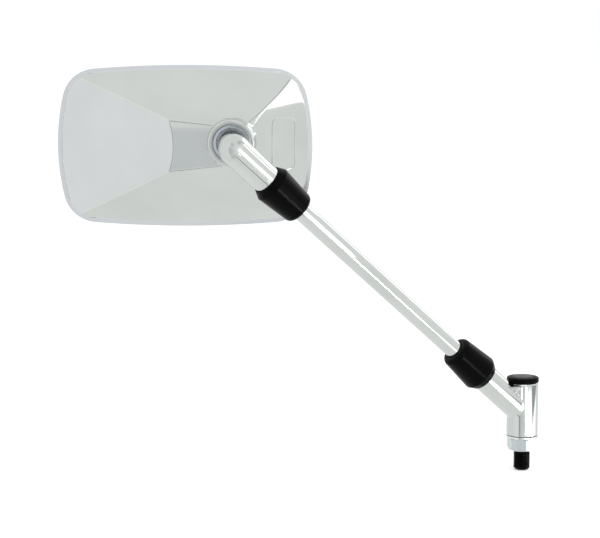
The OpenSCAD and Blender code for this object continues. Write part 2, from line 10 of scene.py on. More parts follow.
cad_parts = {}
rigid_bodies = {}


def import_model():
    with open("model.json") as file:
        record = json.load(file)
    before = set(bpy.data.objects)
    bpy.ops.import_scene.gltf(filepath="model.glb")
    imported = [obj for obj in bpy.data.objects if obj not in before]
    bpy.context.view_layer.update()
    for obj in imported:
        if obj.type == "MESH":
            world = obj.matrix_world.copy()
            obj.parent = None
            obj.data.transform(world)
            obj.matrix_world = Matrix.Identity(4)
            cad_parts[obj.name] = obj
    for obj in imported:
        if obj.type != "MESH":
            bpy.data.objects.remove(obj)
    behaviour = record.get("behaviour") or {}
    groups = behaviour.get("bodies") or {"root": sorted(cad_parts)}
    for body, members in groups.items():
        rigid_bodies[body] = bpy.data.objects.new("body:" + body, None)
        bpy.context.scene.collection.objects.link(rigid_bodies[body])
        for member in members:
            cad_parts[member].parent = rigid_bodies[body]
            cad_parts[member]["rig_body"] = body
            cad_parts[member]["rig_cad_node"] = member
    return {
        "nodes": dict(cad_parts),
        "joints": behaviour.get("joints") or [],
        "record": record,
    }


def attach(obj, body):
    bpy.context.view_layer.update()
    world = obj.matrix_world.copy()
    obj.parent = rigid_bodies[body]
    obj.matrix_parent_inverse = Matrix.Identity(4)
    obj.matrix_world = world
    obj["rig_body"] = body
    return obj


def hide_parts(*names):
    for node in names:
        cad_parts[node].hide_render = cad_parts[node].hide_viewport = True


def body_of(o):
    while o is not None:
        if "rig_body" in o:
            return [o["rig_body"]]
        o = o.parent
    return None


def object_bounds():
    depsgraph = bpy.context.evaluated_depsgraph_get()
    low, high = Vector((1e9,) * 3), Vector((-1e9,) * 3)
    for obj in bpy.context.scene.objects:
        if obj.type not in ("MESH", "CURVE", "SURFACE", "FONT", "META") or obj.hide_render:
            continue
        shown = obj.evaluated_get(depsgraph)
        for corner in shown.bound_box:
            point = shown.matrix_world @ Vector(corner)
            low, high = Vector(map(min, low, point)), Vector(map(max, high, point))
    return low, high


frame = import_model()
cad_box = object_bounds()
nodes = frame["nodes"]
scene = bpy.context.scene


# Stations of the part, taken from its joints

def joint(name):
    return next(j for j in frame["joints"] if j["name"] == name)


STEM = Vector(joint("elbow_turn")["axis"]).normalized()
ELBOW = Vector(joint("elbow_turn")["pos_m"])
BALL = Vector(joint("head_tilt")["pos_m"])
STEM_LEN = ELBOW.x / STEM.x
CROSS = ELBOW - STEM * STEM_LEN
UP = Vector((0, 0, 1))
FORWARD = Vector((0, -1, 0))

MM = 0.001

# The head's back: rim step, boss and the dish round the ball, and a plane in front of it all
RIM_BACK = -26.68 * MM
BOSS_R = 13.4 * MM
BOSS_ROOT = BALL.y - 1.5 * MM
DISH_R = 10.3 * MM
BEFORE_HEAD = BALL.y - 30 * MM

CAP_TOP = max(vertex.co.z for vertex in nodes["top_cap"].data.vertices)
PITCH = 1.25 * MM


# Small modelling helpers

def activate(obj):
    """Leaves obj alone selected and active."""
    if bpy.context.object and bpy.context.object.mode != "OBJECT":
        bpy.ops.object.mode_set(mode="OBJECT")
    bpy.ops.object.select_all(action="DESELECT")
    obj.select_set(True)
    bpy.context.view_layer.objects.active = obj


def name_piece(obj, name):
    obj.name = name
    obj.data.name = name
    return obj


def modify(obj, kind, **settings):
    """Adds a modifier with these settings and applies it."""
    activate(obj)
    modifier = obj.modifiers.new(kind.lower(), kind)
    for key, value in settings.items():
        setattr(modifier, key, value)
    bpy.ops.object.modifier_apply(modifier=modifier.name)
    return obj


def smooth(obj, degrees):
    """Smooth shading across edges up to that angle, with flat faces kept flat beside their rounded edges."""
    activate(obj)
    bpy.ops.object.shade_smooth_by_angle(angle=math.radians(degrees))
    return modify(obj, "WEIGHTED_NORMAL", keep_sharp=True, mode="FACE_AREA")


def ease_edges(obj, width, degrees):
    """Rounds the edges that are sharper than that angle."""
    limit = math.radians(degrees)
    return modify(obj, "BEVEL", width=width, segments=2, limit_method="ANGLE", angle_limit=limit)


def place(obj, at, along):
    """Turns local +Z to along, moves the piece to at, and leaves its object at the origin."""
    turn = Vector(along).to_track_quat("Z", "Y").to_matrix().to_4x4()
    obj.matrix_world = Matrix.Translation(at) @ turn
    activate(obj)
    bpy.ops.object.transform_apply(location=True, rotation=True, scale=True)
    return obj


def cad_copy(node, name):
    """A merged copy of a CAD node's mesh, ready to be refined."""
    obj = nodes[node].copy()
    obj.data = nodes[node].data.copy()
    obj.parent = None
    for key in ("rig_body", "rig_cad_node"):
        del obj[key]
    bpy.context.collection.objects.link(obj)
    name_piece(obj, name)
    activate(obj)
    bpy.ops.object.mode_set(mode="EDIT")
    bpy.ops.mesh.select_all(action="SELECT")
    bpy.ops.mesh.customdata_custom_splitnormals_clear()
    bpy.ops.mesh.remove_doubles(threshold=1e-6)
    bpy.ops.object.mode_set(mode="OBJECT")
    return obj


def rounded(points):
    """Profile points (r, z) or (r, z, fillet): each fillet becomes an arc of that radius."""
    out = []
    count = len(points)
    arc_step = 12
    for i, point in enumerate(points):
        corner = Vector(point[:2])
        fillet = point[2] if len(point) > 2 else 0
        if not fillet:
            out.append(corner)
            continue
        before = (Vector(points[i - 1][:2]) - corner).normalized()
        after = (Vector(points[(i + 1) % count][:2]) - corner).normalized()
        half = before.angle(after) / 2
        reach = fillet / math.tan(half)
        centre = corner + (before + after).normalized() * fillet / math.sin(half)
        start = corner + before * reach - centre
        sweep = math.pi - 2 * half
        sign = -1 if start.x * before.y - start.y * before.x > 0 else 1
        steps = max(3, round(math.degrees(sweep) / arc_step))
        for k in range(steps + 1):
            a = sign * sweep * k / steps
            out.append(centre + Vector((start.x * math.cos(a) - start.y * math.sin(a),
                                        start.x * math.sin(a) + start.y * math.cos(a))))
    return out


def turned(name, profile, closed=False, steps=96):
    """A piece turned about local Z from a profile of (r, z[, fillet]) points in metres."""
    points = rounded(profile)
    bpy.ops.object.select_all(action="DESELECT")
    bpy.ops.mesh.primitive_plane_add(size=MM)
    obj = name_piece(bpy.context.object, name)
    bpy.ops.object.mode_set(mode="EDIT")
    bpy.ops.mesh.select_all(action="SELECT")
    bpy.ops.mesh.merge(type="CENTER")
    bpy.ops.transform.translate(value=(points[0].x, 0, points[0].y))
    for before, after in zip(points, points[1:]):
        step = after - before
        bpy.ops.mesh.extrude_vertices_move(TRANSFORM_OT_translate={"value": (step.x, 0, step.y)})
    if closed:
        bpy.ops.object.mode_set(mode="OBJECT")
        obj.data.vertices[0].select = True
        obj.data.vertices[len(obj.data.vertices) - 1].select = True
        bpy.ops.object.mode_set(mode="EDIT")
        bpy.ops.mesh.edge_face_add()
    bpy.ops.mesh.select_all(action="SELECT")
    bpy.ops.mesh.spin(steps=steps, angle=2 * math.pi, center=(0, 0, 0), axis=(0, 0, 1), dupli=False)
    bpy.ops.mesh.select_all(action="SELECT")
    bpy.ops.mesh.remove_doubles(threshold=2e-6)
    bpy.ops.mesh.normals_make_consistent(inside=False)
    bpy.ops.object.mode_set(mode="OBJECT")
    return obj


def cut_thread(obj, low, high, radius):
    """Presses a helical thread into the rings of vertices between two heights on local Z."""
    depth = 0.6 * PITCH
    crest, flank = 0.42, 0.5
    runout, skin = 0.6 * MM, 0.05 * MM
    for vertex in obj.data.vertices:
        x, y, z = vertex.co
        r = math.hypot(x, y)
        if r < radius - skin or not low <= z <= high:
            continue
        phase = (z / PITCH - math.atan2(y, x) / (2 * math.pi)) % 1
        groove = 1 - abs(2 * phase - 1)
        groove = min(1, max(0, (groove - crest) / flank))
        fade = min(1, (z - low) / runout, (high - z) / runout)
        scale = (r - depth * groove * fade) / r
        vertex.co.x *= scale
        vertex.co.y *= scale


def ridge_rings(low, high, radius, step):
    """Profile points up a straight side, close enough together to carry a thread."""
    count = round((high - low) / step)
    return [(radius, low + (high - low) * k / count) for k in range(count + 1)]


# Materials

FINISHES = {}


def new_finish(name):
    """Starts a finish, lists it under its name and gives its node tree and shader."""
    material = bpy.data.materials.new(name)
    material.use_nodes = True
    FINISHES[name] = material
    return material.node_tree, material.node_tree.nodes["Principled BSDF"]


def add(tree, kind, **values):
    node = tree.nodes.new(kind)
    for key, value in values.items():
        if key in node.inputs:
            node.inputs[key].default_value = value
        else:
            setattr(node, key, value)
    return node


def object_noise(tree, scale, detail, roughness=0.5, stretch=(1, 1, 1)):
    """Noise on the piece's own coordinates, in cycles a metre."""
    coords = add(tree, "ShaderNodeTexCoord")
    mapping = add(tree, "ShaderNodeMapping", Scale=stretch)
    noise = add(tree, "ShaderNodeTexNoise", Scale=scale, Detail=detail, Roughness=roughness)
    tree.links.new(coords.outputs["Object"], mapping.inputs["Vector"])
    tree.links.new(mapping.outputs["Vector"], noise.inputs["Vector"])
    return noise


def spread(tree, source, low, high):
    """Maps a noise's middle range to low..high."""
    ranged = add(tree, "ShaderNodeMapRange", clamp=True)
    for key, value in (("From Min", 0.3), ("From Max", 0.7), ("To Min", low), ("To Max", high)):
        ranged.inputs[key].default_value = value
    tree.links.new(source.outputs[0], ranged.inputs["Value"])
    return ranged


def blend_colours(tree, source, first, second):
    mix = add(tree, "ShaderNodeMix", data_type="RGBA")
    mix.inputs[6].default_value = (*first, 1)
    mix.inputs[7].default_value = (*second, 1)
    tree.links.new(source.outputs[0], mix.inputs[0])
    return mix


def bumps(tree, shader, layers):
    """Chains (source, strength, distance) bumps into the shader's normal."""
    before = None
    for source, strength, distance in layers:
        bump = add(tree, "ShaderNodeBump", Strength=strength, Distance=distance)
        tree.links.new(source.outputs[0], bump.inputs["Height"])
        if before:
            tree.links.new(before.outputs["Normal"], bump.inputs["Normal"])
        before = bump
    tree.links.new(before.outputs["Normal"], shader.inputs["Normal"])


def distance_from_axis(tree, point, direction):
    """How far a point of the piece lies from a line, in metres."""
    coords = add(tree, "ShaderNodeTexCoord")
    away = add(tree, "ShaderNodeVectorMath", operation="SUBTRACT")
    away.inputs[1].default_value = point
    cross = add(tree, "ShaderNodeVectorMath", operation="CROSS_PRODUCT")
    cross.inputs[1].default_value = direction
    length = add(tree, "ShaderNodeVectorMath", operation="LENGTH")
    tree.links.new(coords.outputs["Object"], away.inputs[0])
    tree.links.new(away.outputs[0], cross.inputs[0])
    tree.links.new(cross.outputs[0], length.inputs[0])
    return length.outputs["Value"]


def step_up(tree, source, low, high):
    """0 at low and beyond, 1 at high and beyond, smooth between. Low may be the larger number."""
    ramp = add(tree, "ShaderNodeMapRange", interpolation_type="SMOOTHSTEP")
    ramp.inputs["From Min"].default_value = low
    ramp.inputs["From Max"].default_value = high
    tree.links.new(source, ramp.inputs["Value"])
    return ramp


def height_along(tree, direction):
    """How far a point of the piece lies along a direction from the origin, in metres."""
    coords = add(tree, "ShaderNodeTexCoord")
    dot = add(tree, "ShaderNodeVectorMath", operation="DOT_PRODUCT")
    dot.inputs[1].default_value = direction
    tree.links.new(coords.outputs["Object"], dot.inputs[0])
    return dot.outputs["Value"]


def multiply(tree, first, second):
    node = add(tree, "ShaderNodeMath", operation="MULTIPLY")
    tree.links.new(first.outputs[0], node.inputs[0])
    tree.links.new(second.outputs[0], node.inputs[1])
    return node


def hazier_where(tree, haze, mask, more):
    """The roughness, with that much more of it where the mask is 1."""
    node = add(tree, "ShaderNodeMath", operation="MULTIPLY_ADD")
    node.inputs[1].default_value = more
    tree.links.new(mask.outputs[0], node.inputs[0])
    tree.links.new(haze.outputs[0], node.inputs[2])
    return node


def tinted_where(tree, base, mask, colour):
    """The base colour, with another one where the mask is 1."""
    mix = blend_colours(tree, mask, colour, colour)
    tree.links.new(base.outputs[2], mix.inputs[6])
    return mix


def housing_haze_and_painted_light(tree, colour, haze):
    """Hazier rim band with a painted highlight, painted bluish shade on the seat round the ball, and painted
    light on the ball socket.
    """
    band = step_up(tree, height_along(tree, -FORWARD), RIM_BACK - 0.08 * MM, RIM_BACK - 0.02 * MM)
    haze = hazier_where(tree, haze, band, 0.2)
    # Painted highlight: the rim band's plate is tinted brighter than the rest.
    colour = tinted_where(tree, colour, band, (0.76, 0.78, 0.775))
    off_axis = distance_from_axis(tree, BALL, FORWARD)
    # Painted shade: the seat round the ball is tinted darker and bluish.
    seat = step_up(tree, off_axis, DISH_R + 0.25 * MM, DISH_R - 0.05 * MM)
    colour = tinted_where(tree, colour, seat, (0.53, 0.56, 0.605))
    # Painted light: the ball socket deep in the cavity is tinted bright against its shade.
    socket = step_up(tree, off_axis, 8.5 * MM, 8.1 * MM)
    return tinted_where(tree, colour, socket, (0.93, 0.94, 0.97)), haze


def casting_places(tree, colour, haze):
    """Dull lumpy web between socket and barrel, and a hazier dome over the elbow's end."""
    above = STEM.cross(FORWARD).normalized()
    web_foot, cap_foot = CROSS.dot(above) + 5.0 * MM, 41.5 * MM
    barrel_r, dome_r = 9.75 * MM, 9.0 * MM
    above_socket = step_up(tree, height_along(tree, above), web_foot, web_foot + 0.3 * MM)
    off_barrel = distance_from_axis(tree, CROSS, UP)
    clear_of_barrel = step_up(tree, off_barrel, barrel_r, barrel_r + 0.25 * MM)
    below_cap = step_up(tree, height_along(tree, UP), cap_foot, cap_foot - 0.5 * MM)
    web = multiply(tree, multiply(tree, above_socket, clear_of_barrel), below_cap)
    dome = step_up(tree, distance_from_axis(tree, BALL, FORWARD), dome_r, dome_r - 2.5 * MM)
    haze = hazier_where(tree, hazier_where(tree, haze, web, 0.2), dome, 0.2)
    lumps = multiply(tree, web, object_noise(tree, 620, detail=3, roughness=0.65))
    return tinted_where(tree, colour, web, (0.36, 0.37, 0.37)), haze, lumps


def chrome(name, rough, peel, housing=False, casting=False):
    """Chromium plate: nearly even, with a faint orange peel and, on the web, a darker, hazier and lumpy
    patch.
    """
    tree, shader = new_finish(name)
    shader.inputs["Metallic"].default_value = 1
    level = spread(tree, object_noise(tree, 28, detail=3), 0, 1)
    colour = blend_colours(tree, level, (0.585, 0.612, 0.592), (0.625, 0.652, 0.635))
    haze = spread(tree, object_noise(tree, 160, detail=5), rough * 0.7, rough * 1.4)
    layers = [(object_noise(tree, 55, detail=2), peel, 0.4 * MM)]
    if housing:
        colour, haze = housing_haze_and_painted_light(tree, colour, haze)
    if casting:
        colour, haze, lumps = casting_places(tree, colour, haze)
        layers.append((lumps, 0.55, 0.9 * MM))
    tree.links.new(colour.outputs[2], shader.inputs["Base Color"])
    tree.links.new(haze.outputs[0], shader.inputs["Roughness"])
    bumps(tree, shader, layers)


def plated(name, tint, shade, rough):
    """Zinc-plated steel: fine turned grain and a cloudy plate."""
    tree, shader = new_finish(name)
    shader.inputs["Metallic"].default_value = 1
    level = spread(tree, object_noise(tree, 260, detail=6), 0, 1)
    mix = blend_colours(tree, level, shade, tint)
    tree.links.new(mix.outputs[2], shader.inputs["Base Color"])
    haze = spread(tree, object_noise(tree, 700, detail=4), rough * 0.75, rough * 1.3)
    tree.links.new(haze.outputs[0], shader.inputs["Roughness"])
    grain = object_noise(tree, 1500, detail=2, stretch=(1, 1, 0.25))
    bumps(tree, shader, [(grain, 0.06, 0.05 * MM)])


def moulded(name, tint, shade, rough, specular, grain_scale, grain, crown_sheen=None):
    """Moulded rubber, nylon or plastic with a fine grain, and a painted sheen that makes the top paler if a
    sheen colour is given.
    """
    tree, shader = new_finish(name)
    shader.inputs["Specular IOR Level"].default_value = specular
    level = spread(tree, object_noise(tree, 120, detail=5), 0, 1)
    mix = blend_colours(tree, level, shade, tint)
    if crown_sheen:
        # Painted sheen: the top of the piece is tinted paler, standing in for the sky's reflection.
        sheen_on_top = step_up(tree, height_along(tree, UP), CAP_TOP - 0.5 * MM, CAP_TOP - 0.2 * MM)
        mix = tinted_where(tree, mix, sheen_on_top, crown_sheen)
    tree.links.new(mix.outputs[2], shader.inputs["Base Color"])
    haze = spread(tree, object_noise(tree, 420, detail=4), rough * 0.85, rough * 1.15)
    tree.links.new(haze.outputs[0], shader.inputs["Roughness"])
    bumps(tree, shader, [(object_noise(tree, grain_scale, detail=3), grain, 0.1 * MM)])


def silvered():
    """Silvered glass seen from its front: a bright mirror with a faint cool cast."""
    tree, shader = new_finish("mirror_glass")
    shader.inputs["Metallic"].default_value = 1
    level = spread(tree, object_noise(tree, 12, detail=2), 0, 1)
    mix = blend_colours(tree, level, (0.80, 0.83, 0.84), (0.84, 0.86, 0.87))
    tree.links.new(mix.outputs[2], shader.inputs["Base Color"])
    haze = spread(tree, object_noise(tree, 90, detail=6), 0.008, 0.02)
    tree.links.new(haze.outputs[0], shader.inputs["Roughness"])


def grey(level):
    return level, level, level


chrome("chrome_housing", rough=0.06, peel=0.03, housing=True)
chrome("chrome_casting", rough=0.09, peel=0.006, casting=True)
chrome("chrome_rod", rough=0.045, peel=0.0)
plated("zinc_steel", (0.62, 0.68, 0.68), (0.55, 0.605, 0.605), rough=0.22)
plated("bright_washer", (0.80, 0.82, 0.83), (0.70, 0.72, 0.73), rough=0.12)
plated("spring_steel", (0.34, 0.34, 0.35), (0.26, 0.26, 0.27), rough=0.3)
moulded("black_bolt", grey(0.002), grey(0.001), rough=0.22, specular=0.06, grain_scale=900, grain=0.05)
moulded("black_rubber", grey(0.0008), grey(0.0004), rough=0.24, specular=0.06, grain_scale=2600,
        grain=0.004)
moulded("seal_rubber", grey(0.014), grey(0.009), rough=0.5, specular=0.3, grain_scale=900, grain=0.1)
# The cap's paler top is a painted sheen.
moulded("cap_plastic", (0.002, 0.0015, 0.001), grey(0.001), rough=0.4, specular=0.05, grain_scale=1100,
        grain=0.12, crown_sheen=grey(0.11))
moulded("nylon", (0.72, 0.75, 0.80), (0.66, 0.69, 0.74), rough=0.45, specular=0.4, grain_scale=500,
        grain=0.05)
moulded("foam_pad", grey(0.05), grey(0.03), rough=0.9, specular=0.1, grain_scale=1600, grain=0.5)
silvered()

SLOT_OF = {row["node"]: row["material_slot"] for row in frame["record"]["subparts"]}
BODY_OF = {node: body_of(obj)[0] for node, obj in nodes.items()}


def finish(obj, node):
    obj.data.materials.clear()
    obj.data.materials.append(FINISHES[SLOT_OF[node]])


def stand_for(obj, node):
    """Gives a new piece the finish and the body of the CAD node that it stands for."""
    finish(obj, node)
    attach(obj, BODY_OF[node])
    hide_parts(node)


for cad_node, cad_piece in nodes.items():
    finish(cad_piece, cad_node)


# Pieces

def start_selection(obj, mode="VERT"):
    """Clears obj's selection and sets the select mode, ready for the caller to select in object mode."""
    activate(obj)
    bpy.ops.object.mode_set(mode="EDIT")
    bpy.ops.mesh.select_mode(type=mode)
    bpy.ops.mesh.select_all(action="DESELECT")
    bpy.ops.object.mode_set(mode="OBJECT")


def end_selection():
    bpy.ops.mesh.select_mode(type="VERT")
    bpy.ops.object.mode_set(mode="OBJECT")


def delete_where(obj, test):
    """Deletes the vertices whose place passes test."""
    start_selection(obj)
    for vertex in obj.data.vertices:
        vertex.select = test(vertex.co)
    bpy.ops.object.mode_set(mode="EDIT")
    bpy.ops.mesh.delete(type="VERT")
    end_selection()


def delete_faces(obj, indices):
    start_selection(obj, "FACE")
    for face in obj.data.polygons:
        face.select = face.index in indices
    bpy.ops.object.mode_set(mode="EDIT")
    bpy.ops.mesh.delete(type="FACE")
    end_selection()


def bridge_open_edges(obj, test):
    """Joins the two open loops whose points pass test by a band of faces."""
    start_selection(obj, "EDGE")
    bpy.ops.object.mode_set(mode="EDIT")
    bpy.ops.mesh.select_non_manifold(extend=False, use_wire=False, use_boundary=True, use_multi_face=False,
                                     use_non_contiguous=False, use_verts=False)
    bpy.ops.object.mode_set(mode="OBJECT")
    mesh = obj.data
    for edge in mesh.edges:
        if edge.select:
            edge.select = all(test(mesh.vertices[i].co) for i in edge.vertices)
    bpy.ops.object.mode_set(mode="EDIT")
    bpy.ops.mesh.bridge_edge_loops()
    end_selection()


def off_ball_axis(point):
    return math.hypot(point.x - BALL.x, point.z - BALL.z)


def middle_of(obj):
    low = Vector((min(v.co[i] for v in obj.data.vertices) for i in range(3)))
    high = Vector((max(v.co[i] for v in obj.data.vertices) for i in range(3)))
    return (low + high) / 2


def stand_sheet(sheet, x, z, width, height):
    """Stands a unit sheet up in front of the head, at this place and size."""
    turn = Matrix.Rotation(math.pi / 2, 4, "X") @ Matrix.Diagonal((width, height, 1, 1))
    sheet.matrix_world = Matrix.Translation((x, BEFORE_HEAD, z)) @ turn
    activate(sheet)
    bpy.ops.object.transform_apply(location=True, rotation=True, scale=True)


def press_on(sheet, target):
    """Presses a sheet along Y onto the target."""
    modify(sheet, "SHRINKWRAP", target=target, wrap_method="PROJECT", use_project_x=False, use_project_y=True,
           use_project_z=False, use_negative_direction=True, use_positive_direction=True)


def make_skin(target):
    """A fine net drawn over the shell's flared faces, its ridges eased as polishing eases them."""
    cell = 0.5 * MM
    middle = middle_of(target)
    width, height = 152 * MM, 97 * MM
    across, upright = round(width / cell), round(height / cell)
    bpy.ops.object.select_all(action="DESELECT")
    bpy.ops.mesh.primitive_grid_add(x_subdivisions=across, y_subdivisions=upright, size=1)
    skin = name_piece(bpy.context.object, "shell_skin")
    stand_sheet(skin, middle.x, middle.z, width, height)
    press_on(skin, target)
    missed = BEFORE_HEAD + 5 * MM
    hole_r = BOSS_R - 0.9 * MM
    delete_where(skin, lambda p: p.y < missed or off_ball_axis(p) < hole_r)
    modify(skin, "SMOOTH", factor=0.5, iterations=5)
    activate(skin)
    bpy.ops.object.mode_set(mode="EDIT")
    bpy.ops.mesh.select_all(action="SELECT")
    bpy.ops.mesh.bisect(plane_co=(0, RIM_BACK - 0.04 * MM, 0), plane_no=-FORWARD, clear_outer=True)
    bpy.ops.object.mode_set(mode="OBJECT")
    return skin


def turned_boss():
    """The boss: a rolled lip round a shallow flat seat with the mouth in it, turned as one."""
    face, mouth = 11.6 * MM, 8.5 * MM
    seat, hidden = face - 0.8 * MM, face - 2.4 * MM
    foot, buried = 6.1 * MM, 4.6 * MM
    profile = [(BOSS_R + 0.5 * MM, buried), (BOSS_R, foot, 0.8 * MM),
               (BOSS_R, face, 1.25 * MM), (DISH_R + 0.8 * MM, face, 1.1 * MM),
               (DISH_R, seat, 0.2 * MM), (mouth, seat - 0.1 * MM, 0.3 * MM),
               (mouth - 0.1 * MM, hidden), (BOSS_R - 1.2 * MM, buried)]
    return place(turned("housing_boss", profile, closed=True, steps=128), BALL, FORWARD)


def make_outline(shell):
    """The plain raised outline on the right face, with nothing inside it."""
    x, z = -144.8 * MM, 188.7 * MM
    width, height, corner = 13.7 * MM, 29.7 * MM, 3.4 * MM
    line, proud = 0.65 * MM, 0.34 * MM
    bpy.ops.object.select_all(action="DESELECT")
    bpy.ops.mesh.primitive_plane_add(size=1)
    outline = name_piece(bpy.context.object, "raised_outline")
    stand_sheet(outline, x, z, width, height)
    bpy.ops.object.mode_set(mode="EDIT")
    bpy.ops.mesh.select_all(action="SELECT")
    bpy.ops.mesh.bevel(offset=corner, segments=8, affect="VERTICES")
    bpy.ops.mesh.select_all(action="SELECT")
    bpy.ops.mesh.inset(thickness=line)
    bpy.ops.mesh.delete(type="FACE")
    bpy.ops.mesh.select_all(action="SELECT")
    bpy.ops.mesh.subdivide(number_cuts=4)
    bpy.ops.object.mode_set(mode="OBJECT")
    press_on(outline, shell)
    modify(outline, "SOLIDIFY", thickness=2 * proud, offset=0)
    return ease_edges(outline, 0.15 * MM, 40)


def flared_faces(mesh_object):
    """The outer faces of the flares, and none of the inner wall behind them."""
    hair = 0.01 * MM
    wall = 0.5 * MM

    def flared(face):
        centre = face.center
        looks_back = face.normal.y > -0.02
        if looks_back or centre.y > RIM_BACK - hair or off_ball_axis(centre) < BOSS_R - 5 * hair:
            return False
        hit, cover, *_ = mesh_object.ray_cast(centre + FORWARD * 2 * hair, FORWARD)
        return not hit or centre.y - cover.y < wall

    return {face.index for face in mesh_object.data.polygons if flared(face)}


def boss_faces(mesh_object):
    """The outside of the boss, down to the edge of its dish."""
    hair = 0.01 * MM

    def outside(face):
        clear_of_cup = (face.center - BALL).length > BOSS_R - 10 * hair
        in_ring = DISH_R + hair < off_ball_axis(face.center) < BOSS_R + 2 * hair
        return clear_of_cup and in_ring and face.center.y < BOSS_ROOT

    return {face.index for face in mesh_object.data.polygons if outside(face)}


def make_housing():
    """The chromed shell: fine outer faces over the moulding's own inside, with the boss turned on."""
    shell = cad_copy("housing_shell", "housing_shell_chrome")
    target = cad_copy("housing_shell", "housing_target")
    flares = flared_faces(target)
    delete_faces(shell, flares | boss_faces(target))
    delete_faces(target, {face.index for face in target.data.polygons} - flares)
    ease_edges(shell, 0.25 * MM, 40)
    skin = make_skin(target)
    bpy.data.objects.remove(target)
    activate(shell)
    skin.select_set(True)
    bpy.ops.object.join()
    far_out = 30 * MM
    bridge_open_edges(shell, lambda p: off_ball_axis(p) > far_out)
    bridge_open_edges(shell, lambda p: off_ball_axis(p) < far_out)
    ring = turned_boss()
    outline = make_outline(shell)
    activate(shell)
    ring.select_set(True)
    outline.select_set(True)
    bpy.ops.object.join()
    stand_for(smooth(shell, 24), "housing_shell")


def make_eased(node, width, degrees=30):
    """A CAD node's shape with its sharp edges eased."""
    obj = cad_copy(node, node + "_eased")
    ease_edges(obj, width, degrees)
    stand_for(smooth(obj, 35), node)


def make_casting(node, name, voxel, iterations):
    """A casting: the CAD node's shape drawn over with a fine net, its inner corners run together."""
    obj = cad_copy(node, name)
    modify(obj, "REMESH", mode="VOXEL", voxel_size=voxel, adaptivity=0)
    modify(obj, "SMOOTH", factor=0.5, iterations=iterations)
    stand_for(smooth(obj, 60), node)


def make_pivot_bolt():
    """Black stud with its thread cut on, up to the head that the springs press on."""
    r, head_r = 5 * MM, 7 * MM
    tip, thread_low, thread_high = -12 * MM, -11 * MM, 8 * MM
    neck, shoulder, top = 8.3 * MM, 34.01 * MM, 38 * MM
    profile = [(0, tip), (r - 1 * MM, tip)]
    profile += ridge_rings(thread_low, thread_high, r, 0.13 * MM)
    profile += [(r, neck), (r, shoulder), (head_r, shoulder), (head_r, top, 0.5 * MM), (0, top)]
    bolt = turned("pivot_bolt_threaded", profile, steps=80)
    cut_thread(bolt, thread_low - 0.4 * MM, thread_high, r)
    stand_for(smooth(bolt, 50), "pivot_bolt")


def make_stem_rod():
    """Bright rod along +Z from the crossing of the axes, threaded at both ends, then laid along the stem."""
    r, thread_r, ease, lead = 5.5 * MM, 5 * MM, 0.6 * MM, 0.2 * MM
    low, bare, bare_end, high = 18 * MM, 53.5 * MM, 209.5 * MM, 233 * MM
    ring_step = 0.16 * MM
    profile = [(0, low), (thread_r - ease, low)]
    profile += ridge_rings(low + ease, bare, thread_r, ring_step)
    profile += [(r - ease, bare), (r, bare + ease, 0.3 * MM)]
    profile += [(r, bare_end - ease, 0.3 * MM), (r - ease, bare_end)]
    profile += ridge_rings(bare_end, high - ease, thread_r, ring_step)
    profile += [(thread_r - ease, high), (0, high)]
    rod = turned("stem_rod_threaded", profile, steps=64)
    cut_thread(rod, low + lead, bare, thread_r)
    cut_thread(rod, bare_end, high - lead, thread_r)
    place(rod, CROSS, STEM)
    stand_for(smooth(rod, 40), "stem_rod")


def make_nut_cover(node, name, station, along):
    """Rubber cover turned from its rod end at z = 0 to its mouth, with soft edges all round."""
    long, wide_at, step_in = 27 * MM, 22.8 * MM, 5 * MM
    wide, slim, mouth = 11.3 * MM, 9.35 * MM, 9.2 * MM
    bore, mouth_bore = 5.55 * MM, 8.6 * MM
    profile = [(bore, 0, 0.4 * MM), (slim, 0, 2.8 * MM), (wide - 0.25 * MM, wide_at - 3 * MM),
               (wide, wide_at, 0.7 * MM), (mouth, long, 0.45 * MM), (mouth_bore, long, 0.2 * MM),
               (mouth_bore, long - 2 * MM), (wide - 2 * MM, wide_at - 0.6 * MM),
               (wide - 2.6 * MM, wide_at - 10 * MM), (slim - 2.4 * MM, step_in), (bore, step_in)]
    cover = place(turned(name, profile, closed=True), CROSS + STEM * station, along)
    stand_for(smooth(cover, 40), node)


def make_pieces():
    make_housing()
    make_pivot_bolt()
    make_stem_rod()
    make_nut_cover("lower_nut_cover", "lower_cover_soft", station=64 * MM, along=-STEM)
    make_nut_cover("upper_nut_cover", "upper_cover_soft", station=199 * MM, along=STEM)
    make_casting("elbow_neck", "elbow_neck_cast", voxel=0.4 * MM, iterations=22)
    make_casting("holder_casting", "holder_cast", voxel=0.36 * MM, iterations=12)
    for node in ("lock_nut", "lower_lock_nut", "upper_lock_nut"):
        make_eased(node, 0.22 * MM, 25)
    make_eased("base_washer", 0.25 * MM)
    make_eased("top_cap", 0.15 * MM)
    make_eased("clamp_plate", 0.2 * MM)
    for node in ("glass_seal", "mirror_glass", "backing_pad"):
        make_eased(node, 0.25 * MM, 40)


make_pieces()


# Stage: pale floor, white surroundings, softbox cards that only reflections see

PAPER = 0.86
PAPER_LIFT = 0.42
LIGHT_LEVEL = 0.75


